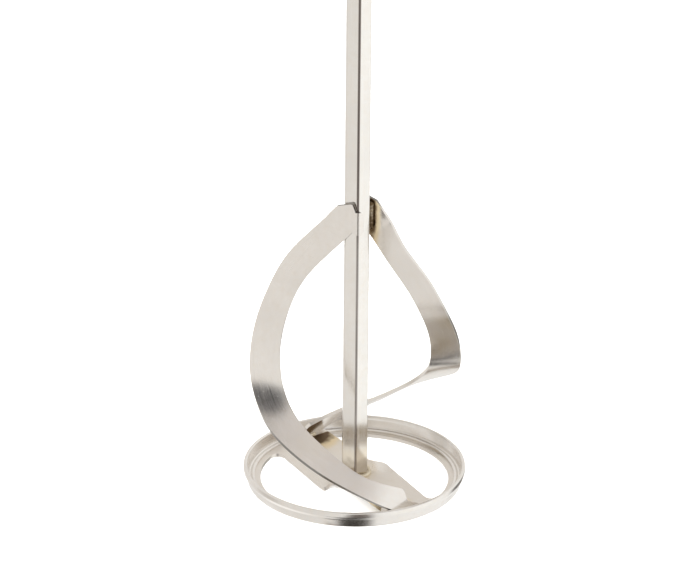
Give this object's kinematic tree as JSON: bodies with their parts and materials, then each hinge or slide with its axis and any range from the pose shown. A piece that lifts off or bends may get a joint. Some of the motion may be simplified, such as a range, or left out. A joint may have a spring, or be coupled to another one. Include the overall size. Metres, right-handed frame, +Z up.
{
  "type": "mortar mixing paddle",
  "caption": "Hex-shank mixing paddle with twisted strip blades, a pitched propeller disc and a rim ring, for stirring mortar and plaster with a drill",
  "frame": {"origin": "on the shaft's axis, in the plane that the ring stands on", "axes": "+Z up along the shaft to its free end, the flat top of blade_left on the facet that faces -X and -Y, and the object repeats after half a turn about Z"},
  "size_m": [0.09, 0.09, 0.4],
  "materials": {
    "plated_bar": "bright plated, drawn along its length",
    "plated_ring": "bright plated pressing",
    "plated_disc": "satin plated pressing",
    "plated_strip": "satin plated strip with faint brushing",
    "weld_metal": "plated weld bead with straw heat tint"
  },
  "bodies": {
    "root": {"hex_shaft": "plated_bar", "rim_ring": "plated_ring", "propeller_disc": "plated_disc", "blade_left": "plated_strip", "blade_right": "plated_strip", "shaft_foot_weld": "weld_metal", "blade_left_top_weld": "weld_metal", "blade_right_top_weld": "weld_metal", "blade_left_foot_weld": "weld_metal", "blade_right_foot_weld": "weld_metal"}
  },
  "joints": []
}
